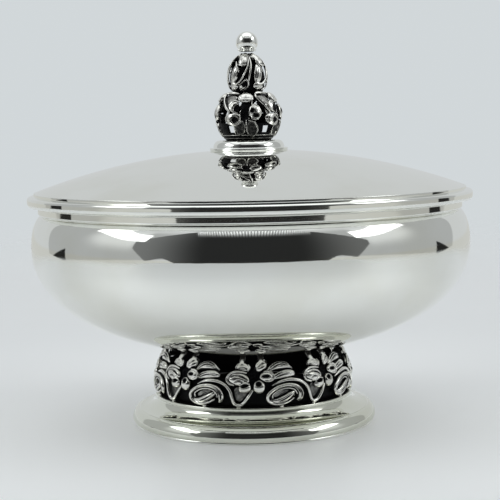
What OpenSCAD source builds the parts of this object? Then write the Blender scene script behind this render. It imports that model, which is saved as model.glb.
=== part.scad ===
// Covered silver sugar bowl: a round bellied bowl on a low spun foot, joined by a pierced
// ring of cast flowers and leaves, with a domed lift-off lid and a pierced flower-bud finial.
// Origin: centre of the foot on the table. +Z is up, and the front flower faces -Y.

/* [Bowl] */
// Largest outside radius of the belly
belly_r = 64.25; // [62:0.25:66]
// Height of the widest line of the belly
belly_z = 53; // [52:0.5:54]
// Depth of the belly curve below its widest line
belly_depth = 31.75; // [31.25:0.25:32.5]
// Squareness of the belly curve, where 2 is a true ellipse
belly_power = 2.15; // [2:0.05:2.4]
// Outside radius of the neck
neck_r = 61.2; // [61:0.1:61.3]
// Height of the bowl's mouth
mouth_z = 65; // [64.5:0.25:66]
// Thickness of the sheet silver
sheet = 1; // [0.8:0.1:1.2]
// How far the mouth wire stands out from the neck
mouth_wire_t = 0.8; // [0.5:0.1:1]
// Height of the mouth wire
mouth_wire_h = 2.1; // [1.8:0.1:2.2]

/* [Foot] */
// Radius of the foot's rim
foot_r = 36.2; // [35.5:0.1:37]
// Height of the spun foot's flat top
foot_z = 8; // [7.5:0.25:8]
// Height of the flat wire ring that the flowers stand on
seat_ring_h = 0.9; // [0.7:0.1:1]
// Outside radius of the flat wire ring
seat_ring_r = 29.2; // [29:0.1:30]
// Height of the wire under the foot's rim
edge_wire_h = 0.8; // [0.6:0.1:1]
// Number of flowers round the foot
foot_flowers = 8; // [8:1:8]
// Largest outside radius of the pierced flower ring
band_r = 29.8; // [29.4:0.1:30]

/* [Lid] */
// Outside radius of the lid's rim
lid_r = 65; // [64.5:0.25:66]
// Radius of the sphere that the dome is part of
dome_sphere_r = 180; // [175:1:185]
// Height of the top of the dome
dome_top_z = 80.3; // [80:0.1:80.6]
// Gap between the lid's seat and the bowl's mouth
seat_gap = 0.1; // [0.05:0.05:0.3]
// Clearance all round between the bezel and the bowl's mouth
bezel_gap = 0.35; // [0.25:0.05:0.6]
// How far the bezel reaches down into the mouth
bezel_drop = 3.6; // [3:0.1:5]

/* [Finial] */
// Number of flowers round the finial
finial_flowers = 4; // [4:1:4]
// Radius of the flower bulb
bulb_r = 10.1; // [9.8:0.1:10.3]
// Height of the bulb's centre
bulb_z = 89.5; // [89:0.1:90]
// Radius of the ball on top
ball_r = 3.2; // [3:0.1:3.4]
// Overall height of the sugar bowl
total_h = 114.6; // [114.2:0.1:115]

/* [Hidden] */

$fn = 96;
silver = "#d9d8d3";
bright = "#efeee9";
oxidised = "#7d7b76";

shoulder_x = 60;               // centre of the shoulder curve
shoulder_h = 10;               // height of the shoulder curve above the widest line
shoulder_top_z = 62.6;         // where the shoulder meets the neck
foot_step = 360 / foot_flowers;
bud_leaf_widths = [76, 102, 89, 89];   // the bud's leaves meet edge to edge
finial_turns = [0, 77, 180, 270];   // the first two flowers stand closer than the rest

band_bulge = 14.5;             // radius of the flower ring's outward bulge
band_mid_z = 12.8;             // height where the flower ring is widest
band_base_z = foot_z + seat_ring_h;
band_top_z = 23.6;             // where the flower ring meets the bowl's underside
flower_t = 1.2;                // thickness of the flowers
leaf_t = 1.1;                  // thickness of the leaves behind the flowers
petal_floor_z = 13.3;          // lowest reach of the foot's petals

dome_z0 = dome_top_z - dome_sphere_r;
dome_edge_r = 63.1;
rim_bead_r = 1.1;              // radius under the rim's upright face
lid_seat_z = mouth_z + seat_gap;
mouth_r = neck_r - sheet;
bezel_r = mouth_r - bezel_gap;
bezel_t = 0.9;

bulb_base_z = 83;
bulb_top_z = 98.2;
bud_low_z = 96.6;
bud_z = 100.5;                 // widest line of the bud
bud_bulge = 10.2;              // radius of the bud's outline
bud_r = 6.2;                   // largest radius of the bud
bud_top_z = 108.8;

// Points on an arc of radius r about (x, z), from angle a0 to a1
function arc(x, z, r, a0, a1, n = 10) =
    [for (i = [0:n]) let (a = a0 + (a1 - a0) * i / n) [x + r * cos(a), z + r * sin(a)]];

// Points on a quarter or more of an ellipse
function ellipse_arc(x, z, rx, rz, a0, a1, n = 10) =
    [for (i = [0:n]) let (a = a0 + (a1 - a0) * i / n) [x + rx * cos(a), z + rz * sin(a)]];

// An oval l long and w wide about (x, z), turned by tilt
function oval(x, z, l, w, tilt = 0, n = 20) =
    [for (i = [0:n - 1]) let (a = 360 * i / n, u = l / 2 * cos(a), v = w / 2 * sin(a))
        [x + u * cos(tilt) - v * sin(tilt), z + u * sin(tilt) + v * cos(tilt)]];

function reversed(list) = [for (i = [len(list) - 1:-1:0]) list[i]];

// Belly from the axis out to its widest line, inset by t
function belly(t, n = 30) =
    [for (i = [0:n]) let (a = 90 * i / n, r = (belly_r - t) * pow(sin(a), 2 / belly_power))
        [r, belly_z - (belly_depth - t) * pow(cos(a), 2 / belly_power)]];

// Shoulder from the widest line up to the neck, inset by t
function shoulder(t) =
    ellipse_arc(shoulder_x, belly_z, belly_r - shoulder_x - t, shoulder_h - t, 5, 70, 9);

// ---- Bowl ----

module bowl_shell() {
    outer = concat(belly(0), shoulder(0), [[neck_r, shoulder_top_z], [neck_r, mouth_z]]);
    inner = concat(belly(sheet), shoulder(sheet), [[mouth_r, shoulder_top_z], [mouth_r, mouth_z]]);
    color(silver) rotate_extrude() polygon(concat(outer, reversed(inner)));
}

module bowl_mouth_wire() {
    wire_r = neck_r + mouth_wire_t;
    round_r = 0.35;
    low_z = mouth_z - mouth_wire_h;
    color(bright) rotate_extrude() polygon(concat(
        [[neck_r, low_z]],
        arc(wire_r - round_r, low_z + round_r, round_r, -90, 0, 4),
        arc(wire_r - round_r, mouth_z - round_r, round_r, 0, 90, 4),
        [[neck_r, mouth_z]]
    ));
}

// ---- Foot ----

// Hollow spun foot: flat top, hollow curve, rounded rim
module foot_flare() {
    top_in_r = 25.2;
    waist_r = 28.6;
    hollow_x = 34.2;
    hollow_rz = 3.2;
    rim_rx = 2.4;
    rim_rz = 3.3;
    rim_z = 1.5;
    rim_x = foot_r - rim_rx;
    tuck = 0.35;               // how far the rim turns in under itself
    function outline(t) = concat(
        ellipse_arc(hollow_x, foot_z - t, hollow_x - waist_r + t, hollow_rz, 180, 265, 9),
        ellipse_arc(rim_x, rim_z, rim_rx - t, rim_rz - t, 85, 0, 9)
    );
    color(silver) rotate_extrude() polygon(concat(
        [[top_in_r, foot_z]],
        outline(0),
        [[foot_r - tuck, edge_wire_h], [foot_r - tuck - sheet, edge_wire_h]],
        reversed(outline(sheet)),
        [[top_in_r, foot_z - sheet]]
    ));
}

module foot_edge_wire() {
    wire_out_r = foot_r - 0.5;
    wire_w = 1.8;
    color(silver) rotate_extrude() translate([wire_out_r - wire_w, 0]) square([wire_w, edge_wire_h]);
}

module foot_seat_ring() {
    ring_w = 2.8;
    round_r = 0.3;
    color(bright) rotate_extrude() polygon(concat(
        [[seat_ring_r - ring_w, foot_z], [seat_ring_r, foot_z]],
        arc(seat_ring_r - round_r, band_base_z - round_r, round_r, 0, 90, 4),
        [[seat_ring_r - ring_w, band_base_z]]
    ));
}

// Bulging ring between depth d0 and d1 behind the flowers' outside, from z0 to z1
module band_layer(d0, d1, z0 = band_base_z, z1 = band_top_z) {
    x = band_r - band_bulge;
    intersection() {
        rotate_extrude() polygon(concat(
            arc(x, band_mid_z, band_bulge - d0, -25, 50, 13),
            arc(x, band_mid_z, band_bulge - d1, 50, -25, 13)
        ));
        translate([0, 0, z0]) cylinder(r = 2 * band_r, h = z1 - z0);
    }
}

// Radial prism over a flat outline that is drawn as seen from outside, at angle a round the axis
module outward(a, reach = 2 * band_r) {
    rotate([0, 0, a]) rotate([90, 0, 0]) linear_extrude(reach) children();
}

// Six petals round a cup: direction, distance from the cup, length and width of each
foot_cup = [0.2, 18.2];
foot_petals = [
    [124, 4.0, 5.6, 3.0],
    [54, 4.1, 5.6, 3.2],
    [187, 4.6, 6.2, 4.0],
    [356, 4.2, 4.6, 3.4],
    [232, 3.7, 4.4, 3.5],
    [300, 3.5, 4.4, 3.5]
];

module petals(cup, cup_r, list) {
    translate(cup) circle(r = cup_r, $fn = 24);
    for (p = list)
        polygon(oval(cup[0] + p[1] * cos(p[0]), cup[1] + p[1] * sin(p[0]), p[2], p[3], p[0]));
}

module foot_flower(i) {
    cup_r = 2.1;
    color(bright) intersection() {
        band_layer(0, flower_t);
        outward(foot_step * (i - 1)) petals(foot_cup, cup_r, foot_petals);
    }
}

// Two ribbed lobes stacked between two flowers
module foot_leaf_pair(i) {
    lobe_angle = 19.5;
    color(silver) intersection() {
        band_layer(flower_t, flower_t + leaf_t);
        outward(foot_step * (i - 1) + lobe_angle) {
            polygon(oval(-0.3, 20.5, 8.6, 2.6, 4));
            polygon(oval(0.3, 18.4, 9.4, 2.6, 4));
        }
    }
}

// Oval scroll with a folded tongue, and a pointed leaf that runs on under the next flower
module foot_scroll_leaf(i) {
    start = foot_step * (i - 1);
    scroll_angle = 18.5;
    stroke_angle = 30;
    tip_angle = 36.5;
    depth = flower_t + leaf_t;
    color(silver) union() {
        intersection() {
            band_layer(0, depth);
            outward(start + scroll_angle) {
                difference() {
                    polygon(oval(0, 12.5, 11.4, 6.2, 9));
                    polygon(oval(0, 12.5, 9.0, 3.8, 9));
                }
                polygon(oval(-0.2, 11.7, 8.6, 1.7, 20));
                translate([-1, band_base_z]) square([2, 0.8]);
            }
        }
        intersection() {
            band_layer(flower_t, depth);
            outward(start + stroke_angle) polygon(oval(-2, 15.4, 8.5, 1.9, -14));
        }
        intersection() {
            band_layer(flower_t, depth);
            outward(start + tip_angle) pointed_leaf();
        }
        intersection() {
            band_layer(0, depth, band_base_z, petal_floor_z);
            outward(start + tip_angle) pointed_leaf_rim();
        }
    }
}

pointed_leaf_outline = concat(
    [[-2.6, 15.4], [-2.5, 13.4]],
    arc(-0.1, 11.4, 2.2, 190, 310, 6),
    [[3.4, 13.2], [3.9, 14.6], [0.5, 15.2]]
);

module pointed_leaf() {
    polygon(pointed_leaf_outline);
    translate([-1.3, band_base_z]) square([2.2, 0.8]);
}

module pointed_leaf_rim() {
    difference() {
        polygon(pointed_leaf_outline);
        polygon(concat(
            [[-1.8, 15.4], [-1.7, 13.4]],
            arc(-0.1, 11.6, 1.5, 190, 310, 6),
            [[2.5, 13.4], [2.5, 15.4]]
        ));
    }
}

// ---- Lid ----

function dome(r, t) = [r, dome_z0 + sqrt(pow(dome_sphere_r - t, 2) - r * r)];

module lid_dome() {
    n = 24;
    color(silver) rotate_extrude() polygon(concat(
        [for (i = [0:n]) dome(dome_edge_r * i / n, 0)],
        [for (i = [n:-1:0]) dome(dome_edge_r * i / n, sheet)]
    ));
}

// Rim with a rounded edge, soldered under the dome
module lid_rim_moulding() {
    under_r = 62.4;
    face_low_z = lid_seat_z + 1.15;
    face_top_z = lid_seat_z + 2;
    top_round_r = 0.8;
    top_z = lid_seat_z + 3.1;      // a little below the dome's edge, which stands up as a fine step
    color(bright) rotate_extrude() polygon(concat(
        [dome(bezel_r, sheet), [bezel_r, lid_seat_z], [under_r, lid_seat_z]],
        arc(lid_r - rim_bead_r, face_low_z, rim_bead_r, -80, 0, 8),
        arc(lid_r - top_round_r, face_top_z, top_round_r, 0, 70, 6),
        [[dome_edge_r, top_z], dome(dome_edge_r, sheet)]
    ));
}

// Inner flange that keeps the lid on the mouth
module lid_bezel() {
    low_z = mouth_z - bezel_drop;
    lead = 0.4;
    color(silver) rotate_extrude() polygon([
        [bezel_r - bezel_t, low_z],
        [bezel_r - lead, low_z],
        [bezel_r, low_z + lead],
        dome(bezel_r, sheet),
        dome(bezel_r - bezel_t, sheet)
    ]);
}

// ---- Finial ----

// Turned base of the finial: a thin disc under a rounded cushion
module finial_flange() {
    disc_r = 11.5;
    disc_h = 0.5;
    cushion_r = 8.7;
    disc_z = dome_top_z;
    color(bright) rotate_extrude() polygon(concat(
        [for (i = [0:4]) dome(disc_r * i / 4, 0)],
        [[disc_r, disc_z + disc_h], [disc_r - 0.8, disc_z + disc_h]],
        ellipse_arc(cushion_r, disc_z + disc_h, 1.8, bulb_base_z - disc_z - disc_h, 0, 90, 6),
        [[0, bulb_base_z]]
    ));
}

// Round shell between depth d0 and d1 behind the bulb's outside, from z0 to z1
module bulb_layer(d0, d1, z0 = bulb_base_z, z1 = bulb_top_z) {
    intersection() {
        rotate_extrude() polygon(concat(
            arc(0, bulb_z, bulb_r - d0, -60, 65, 16),
            arc(0, bulb_z, bulb_r - d1, 65, -60, 16)
        ));
        translate([0, 0, z0]) cylinder(r = 2 * bulb_r, h = z1 - z0);
    }
}

petal_t = 0.9;
curl_t = 0.9;
flower_turn = -4;              // the front flower sits a little left of the front

// Ring with square windows round the bottom of the bulb
module finial_gallery() {
    ring_top_z = 88;
    window_w = 2.2;
    window_h = 2;
    window_z = 85.2;
    window_offset = 36.5;          // one window between each two flowers
    color(oxidised) difference() {
        bulb_layer(petal_t, petal_t + curl_t, bulb_base_z, ring_top_z);
        for (back = [0, 180], side = [-1, 1])
            outward(back + side * window_offset)
                translate([-window_w / 2, window_z]) square([window_w, window_h]);
    }
}

finial_cup = [0, 90.4];
finial_petals = [
    [85, 4.2, 5.0, 4.6],
    [145, 3.9, 4.2, 3.2],
    [200, 4.1, 4.8, 3.7],
    [12, 3.3, 4.0, 4.0],
    [242, 4.6, 6.6, 3.9],
    [298, 4.6, 6.6, 3.9]
];

module finial_flower(i) {
    cup_r = 2.2;
    color(bright) intersection() {
        bulb_layer(0, petal_t);
        outward(flower_turn + finial_turns[i - 1]) petals(finial_cup, cup_r, finial_petals);
    }
}

// Leaf that curls over between two flowers
module finial_curl_leaf(i) {
    curl_angle = -40;
    color(silver) intersection() {
        bulb_layer(petal_t, petal_t + curl_t);
        outward(finial_turns[i - 1] + curl_angle) {
            polygon(oval(0.2, 95.2, 7.6, 5.6, -20));
            translate([-0.8, 86]) square([1.6, 8]);
        }
    }
}

// Long leaf of the closed bud, standing on the curled leaves
module finial_bud_leaf(i) {
    leaf_turn = -49;
    leaf_width = bud_leaf_widths[i - 1];
    leaf_wall = 1.5;
    x = bud_r - bud_bulge;
    inner = bud_bulge - leaf_wall;
    top_a = asin((bud_top_z - bud_z) / bud_bulge);
    inner_top_a = 40;
    color(silver) difference() {
        rotate([0, 0, finial_turns[i - 1] + leaf_turn - 90])
            rotate_extrude(angle = leaf_width) polygon(concat(
                arc(x, bud_z, bud_bulge, -asin((bud_z - bud_low_z) / bud_bulge), top_a, 10),
                [[0.9, bud_top_z]],
                arc(x, bud_z, inner, inner_top_a, -asin((bud_z - bud_low_z) / inner), 8)
            ));
        translate([0, 0, bulb_z]) sphere(r = bulb_r - petal_t);
    }
}

module finial_collar() {
    collar_r = 2.7;
    collar_h = 0.9;
    bead_r = 0.45;
    beads = 14;
    color(bright) translate([0, 0, bud_top_z]) union() {
        cylinder(r = collar_r - bead_r, h = collar_h);
        for (i = [0:beads - 1])
            rotate([0, 0, 360 * i / beads]) translate([collar_r - bead_r, 0, collar_h / 2])
                sphere(r = bead_r, $fn = 24);
    }
}

module finial_ball() {
    collar_top_z = bud_top_z + 0.9;
    color(bright) difference() {
        translate([0, 0, total_h - ball_r]) sphere(r = ball_r);
        translate([0, 0, collar_top_z - ball_r]) cylinder(r = ball_r, h = ball_r);
    }
}

bowl_shell();
bowl_mouth_wire();
foot_flare();
foot_edge_wire();
foot_seat_ring();
for (i = [1:foot_flowers]) {
    foot_flower(i);
    foot_leaf_pair(i);
    foot_scroll_leaf(i);
}
lid_dome();
lid_rim_moulding();
lid_bezel();
finial_flange();
finial_gallery();
for (i = [1:finial_flowers]) {
    finial_flower(i);
    finial_curl_leaf(i);
    finial_bud_leaf(i);
}
finial_collar();
finial_ball();
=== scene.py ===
import math

import bmesh
import bpy
import numpy as np
import openvdb
from mathutils import Matrix, Vector


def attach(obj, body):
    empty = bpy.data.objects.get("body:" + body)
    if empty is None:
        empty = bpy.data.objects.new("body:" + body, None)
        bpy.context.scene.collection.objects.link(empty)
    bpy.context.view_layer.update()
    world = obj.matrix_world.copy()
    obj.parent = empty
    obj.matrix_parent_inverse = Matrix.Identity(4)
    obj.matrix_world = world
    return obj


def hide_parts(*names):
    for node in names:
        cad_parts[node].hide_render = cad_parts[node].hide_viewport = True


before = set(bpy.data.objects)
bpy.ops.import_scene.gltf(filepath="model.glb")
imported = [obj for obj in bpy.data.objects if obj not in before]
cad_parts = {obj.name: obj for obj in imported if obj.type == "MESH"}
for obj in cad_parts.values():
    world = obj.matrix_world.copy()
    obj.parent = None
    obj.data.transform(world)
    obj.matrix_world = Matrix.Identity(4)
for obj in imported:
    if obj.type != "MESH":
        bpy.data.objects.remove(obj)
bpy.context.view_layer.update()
mm = 0.001
print("frame loaded:", len(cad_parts), "solids")


def meshObject(name, points, faces, material, recess=None):
    mesh = bpy.data.meshes.new(name)
    mesh.from_pydata([tuple(p) for p in np.asarray(points, float) * mm], [], faces)
    mesh.validate()
    mesh.shade_smooth()
    mesh.materials.append(material)
    if recess is not None:
        mesh.attributes.new("recess", "FLOAT", "POINT").data.foreach_set(
            "value", np.asarray(recess, np.float32))
    piece = bpy.data.objects.new(name, mesh)
    bpy.context.scene.collection.objects.link(piece)
    return piece


def place(piece, body, slotName, *nodes):
    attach(piece, body)
    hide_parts(*nodes)
    return piece


def arcPoints(x, z, rx, rz, fromDeg, toDeg, steps=12):
    angles = np.radians(np.linspace(fromDeg, toDeg, steps + 1))
    return [(x + rx * math.cos(a), z + rz * math.sin(a)) for a in angles]


def softenCorners(profile, radii, steps=5):
    # each corner of the closed profile with a radius becomes a small arc
    rounded = []
    count = len(profile)
    for i, corner in enumerate(profile):
        radius = radii.get(i, 0)
        if not radius:
            rounded.append(corner)
            continue
        here = Vector(corner)
        before = (Vector(profile[i - 1]) - here).normalized()
        after = (Vector(profile[(i + 1) % count]) - here).normalized()
        half = before.angle(after) / 2
        reach = radius / math.tan(half)
        centre = here + (before + after).normalized() * (radius / math.sin(half))
        start, end = here + before * reach - centre, here + after * reach - centre
        turnAngle = start.angle_signed(end)
        for k in range(steps + 1):
            a = -turnAngle * k / steps
            rounded.append((centre.x + start.x * math.cos(a) - start.y * math.sin(a),
                            centre.y + start.x * math.sin(a) + start.y * math.cos(a)))
    return rounded


def holdEdges(profile, share=0.04, longest=0.6):
    # extra points beside the ends of long straight runs keep the flats flat under smooth shading
    held = []
    for i, a in enumerate(profile):
        b = profile[(i + 1) % len(profile)]
        held.append(a)
        if math.dist(a, b) > longest:
            for t in (share, 0.5, 1 - share):
                held.append((a[0] + (b[0] - a[0]) * t, a[1] + (b[1] - a[1]) * t))
    return held


def turned(name, profile, material, segments=224):
    # closed profile of (radius, height) turned round the axis; points on the axis close to a pole
    rings, points, faces = [], [], []
    for r, z in profile:
        if r < 1e-6:
            rings.append([len(points)])
            points.append((0, 0, z))
            continue
        rings.append(list(range(len(points), len(points) + segments)))
        for k in range(segments):
            a = 2 * math.pi * k / segments
            points.append((r * math.cos(a), r * math.sin(a), z))
    for i, low in enumerate(rings):
        high = rings[(i + 1) % len(rings)]
        if len(low) == 1 and len(high) == 1:
            continue
        for k in range(segments):
            n = (k + 1) % segments
            if len(low) == 1:
                faces.append((low[0], high[n], high[k]))
            elif len(high) == 1:
                faces.append((low[k], low[n], high[0]))
            else:
                faces.append((low[k], low[n], high[n], high[k]))
    area = sum(a[0] * b[1] - b[0] * a[1] for a, b in zip(profile, profile[1:] + profile[:1]))
    if area < 0:
        faces = [tuple(reversed(f)) for f in faces]
    return meshObject(name, points, faces, material)


def addNode(tree, kind, **settings):
    node = tree.nodes.new(kind)
    for key, value in settings.items():
        setattr(node, key, value)
    return node


class Value:
    # a number that a node tree works out, so that node maths reads like plain maths
    def __init__(self, tree, socket):
        self.tree, self.socket = tree, socket

    def math(self, operation, other=0.0):
        return calc(self.tree, operation, self, other)

    def __add__(self, other):
        return self.math("ADD", other)

    def __sub__(self, other):
        return self.math("SUBTRACT", other)

    def __rsub__(self, other):
        return calc(self.tree, "SUBTRACT", other, self)

    def __mul__(self, other):
        return self.math("MULTIPLY", other)

    def __truediv__(self, other):
        return self.math("DIVIDE", other)

    def __rtruediv__(self, other):
        return calc(self.tree, "DIVIDE", other, self)


def wire(source, node, socket):
    if isinstance(source, Value):
        source.tree.links.new(source.socket, node.inputs[socket])
    else:
        node.inputs[socket].default_value = source


def calc(tree, operation, *values):
    node = addNode(tree, "ShaderNodeMath", operation=operation)
    for socket, value in enumerate(values):
        wire(value, node, socket)
    return Value(tree, node.outputs[0])


def smoothRange(value, low, high, toLow=0.0, toHigh=1.0):
    node = addNode(value.tree, "ShaderNodeMapRange", interpolation_type="SMOOTHSTEP")
    for socket, number in zip(("Value", "From Min", "From Max", "To Min", "To Max"),
                              (value, low, high, toLow, toHigh)):
        wire(number, node, socket)
    return Value(value.tree, node.outputs["Result"])


def noise(coords, scale, detail=3.0, roughness=0.5):
    node = addNode(coords.tree, "ShaderNodeTexNoise")
    for socket, value in (("Vector", coords), ("Scale", scale), ("Detail", detail),
                          ("Roughness", roughness)):
        wire(value, node, socket)
    return Value(coords.tree, node.outputs["Fac"])


def stretched(coords, scale):
    node = addNode(coords.tree, "ShaderNodeMapping")
    wire(coords, node, "Vector")
    wire(scale, node, "Scale")
    return Value(coords.tree, node.outputs["Vector"])


def axesOf(vector):
    node = addNode(vector.tree, "ShaderNodeSeparateXYZ")
    wire(vector, node, 0)
    return [Value(vector.tree, output) for output in node.outputs]


def mixColour(share, a, b):
    node = addNode(share.tree, "ShaderNodeMix", data_type="RGBA")
    wire(share, node, 0)
    for socket, colour in ((6, a), (7, b)):
        wire((*colour, 1) if isinstance(colour, tuple) else colour, node, socket)
    return Value(share.tree, node.outputs[2])


def newMaterial(name):
    material = bpy.data.materials.new(name)
    material.use_nodes = True
    tree = material.node_tree
    tree.nodes.clear()
    shader = addNode(tree, "ShaderNodeBsdfPrincipled")
    output = addNode(tree, "ShaderNodeOutputMaterial")
    tree.links.new(shader.outputs[0], output.inputs[0])
    shader.inputs["Metallic"].default_value = 1
    coords = Value(tree, addNode(tree, "ShaderNodeTexCoord").outputs["Object"])
    return material, shader, coords


def roughen(shader, height, strength, depth):
    bump = addNode(height.tree, "ShaderNodeBump")
    wire(strength, bump, "Strength")
    wire(depth, bump, "Distance")
    wire(height, bump, "Height")
    wire(Value(height.tree, bump.outputs[0]), shader, "Normal")


polish = {
    "silver": (0.905, 0.91, 0.875),
    "haze": (0.855, 0.855, 0.80),     # faint yellowing where the polish has dulled
    "roughness": 0.035,
    "wornRoughness": 0.11,
    "scratchDepth": 0.05,
    "hazeScale": 38,
    "hairlineScale": 210,
    "hairlineStretch": (1, 1, 26),
    "grainScale": 1500,
    "black": (0.03, 0.028, 0.026),    # painted shade, for insides and undersides that the parts around them shade
}


def polishedSilver(name, settings, shadedInside=None):
    material, shader, coords = newMaterial(name)
    patches = smoothRange(noise(coords, settings["hazeScale"], 4), 0.42, 0.72)
    colour = mixColour(patches, settings["silver"], settings["haze"])
    hairlines = noise(stretched(coords, settings["hairlineStretch"]), settings["hairlineScale"], 2)
    grain = noise(coords, settings["grainScale"], 2)
    wear = patches * smoothRange(hairlines, 0.4, 0.75)
    rough = smoothRange(wear, 0, 1, settings["roughness"], settings["wornRoughness"])
    # painted shade: inside the given radius and below the given height the colour turns dark and dull
    if shadedInside:
        x, y, z = axesOf(coords)
        radius, top = shadedInside["radius"], shadedInside["top"]
        inner = smoothRange((x * x + y * y).math("SQRT"), radius, radius - 0.001)
        shadeMask = inner * smoothRange(z, top + 0.0002, top)
        colour = mixColour(shadeMask, colour, settings["black"])
        rough = smoothRange(shadeMask, 0, 1, rough, 0.5)
    wire(colour, shader, "Base Color")
    wire(rough, shader, "Roughness")
    roughen(shader, hairlines + grain, settings["scratchDepth"], 0.00002)
    return material


cast = {
    "silver": (0.86, 0.85, 0.81),
    "dull": (0.68, 0.67, 0.62),       # the cloudy film on parts that nobody polishes
    "oxide": (0.010, 0.010, 0.011),
    "recessStart": 0.17,              # how deep a hollow is before it stays dark
    "recessEnd": 0.46,
    "highRoughness": 0.12,
    "lowRoughness": 0.5,
    "filmRoughness": 0.1,
    "breakup": 0.22,
    "breakupScale": 900,
    "filmScale": 420,
    "grainScale": 2600,
    "grainDepth": 0.35,
}


def castSilver(name, settings):
    material, shader, coords = newMaterial(name)
    # recess holds the oxide in the hollows and also painted shade on set-back and inward-facing parts
    hollow = Value(coords.tree, addNode(
        coords.tree, "ShaderNodeAttribute", attribute_name="recess").outputs["Fac"])
    breakup = noise(coords, settings["breakupScale"], 4, 0.6)
    uneven = hollow + (breakup - 0.5) * settings["breakup"]
    dark = smoothRange(uneven, settings["recessStart"], settings["recessEnd"])
    film = smoothRange(noise(coords, settings["filmScale"], 3, 0.6), 0.38, 0.72)
    bright = mixColour(film, settings["silver"], settings["dull"])
    wire(mixColour(dark, bright, settings["oxide"]), shader, "Base Color")
    wire(film * settings["filmRoughness"]
         + smoothRange(dark, 0, 1, settings["highRoughness"], settings["lowRoughness"]),
         shader, "Roughness")
    roughen(shader, noise(coords, settings["grainScale"], 3), settings["grainDepth"], 0.00004)
    return material


footPolish = {**polish, "silver": (0.79, 0.80, 0.72), "haze": (0.71, 0.715, 0.62),
              "roughness": 0.045}            # the foot is darker and yellower than the rest
# the bowl, foot, ball and seat ring get painted shade inside and underneath
bowlSilver = polishedSilver("bowlPolishedSilver", polish, {"radius": 0.0275, "top": 0.030})
lidSilver = polishedSilver("lidPolishedSilver", polish)
footSilver = polishedSilver("footPolishedSilver", footPolish, {"radius": 0.0262, "top": 0.0085})
ballSilver = polishedSilver("ballPolishedSilver", polish, {"radius": 0.0025, "top": 0.1097})
seatSilver = polishedSilver("seatPolishedSilver", footPolish, {"radius": 0.0292, "top": 0.0095})
wireSilver = polishedSilver("wirePolishedSilver", polish)
blackenedSilver = castSilver("castBlackenedSilver", cast)
print("materials ready")


def geometryTree(name, numbers, comesIn=True):
    # a node group with one named input for each number, and the silver to coat the result with
    tree = bpy.data.node_groups.new(name, "GeometryNodeTree")
    face = tree.interface
    if comesIn:
        face.new_socket("Geometry", in_out="INPUT", socket_type="NodeSocketGeometry")
    kinds = {key: "NodeSocketInt" if isinstance(value, int) else "NodeSocketFloat"
             for key, value in numbers.items()}
    sockets = {key: face.new_socket(key, in_out="INPUT", socket_type=kind).identifier
               for key, kind in {**kinds, "silver": "NodeSocketMaterial"}.items()}
    face.new_socket("Geometry", in_out="OUTPUT", socket_type="NodeSocketGeometry")
    outputs = addNode(tree, "NodeGroupInput").outputs
    given = {output.name: Value(tree, output) for output in outputs if output.name}
    return tree, sockets, given


def chain(tree, kind, links):
    # adds a node with these inputs and hands on its first output
    node = addNode(tree, kind)
    for socket, value in links.items():
        wire(value, node, socket)
    return Value(tree, node.outputs[0])


def closeTree(tree, geometry, silver):
    realized = chain(tree, "GeometryNodeRealizeInstances", {0: geometry})
    coated = chain(tree, "GeometryNodeSetMaterial", {"Geometry": realized, "Material": silver})
    wire(coated, addNode(tree, "NodeGroupOutput"), 0)


def grown(name, tree, sockets, numbers, silver, startMesh=None):
    # runs a geometry nodes tree once and keeps its result as a plain mesh
    mesh = startMesh or bpy.data.meshes.new(name + "Start")
    source = bpy.data.objects.new(name + "Source", mesh)
    bpy.context.scene.collection.objects.link(source)
    modifier = source.modifiers.new("grow", "NODES")
    modifier.node_group = tree
    for key, value in {**numbers, "silver": silver}.items():
        modifier[sockets[key]] = value
    bpy.context.view_layer.update()
    result = bpy.data.meshes.new_from_object(
        source.evaluated_get(bpy.context.evaluated_depsgraph_get()))
    source.modifiers.remove(modifier)
    bpy.data.objects.remove(source)
    result.name = name
    result.shade_smooth()
    piece = bpy.data.objects.new(name, result)
    bpy.context.scene.collection.objects.link(piece)
    return piece


bowl = {
    "bellyRadius": 64.25, "widestHeight": 53.0, "bellyDepth": 31.75, "squareness": 2.15,
    "shoulderCentre": 60.0, "shoulderHeight": 10.0, "neckRadius": 61.2, "neckHeight": 62.6,
    "mouthHeight": 65.0, "segments": 256, "bellyRows": 72, "shoulderRows": 20, "neckRows": 6,
}
bowlSheet = 1.0
shoulderEnd = math.radians(70)


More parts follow.
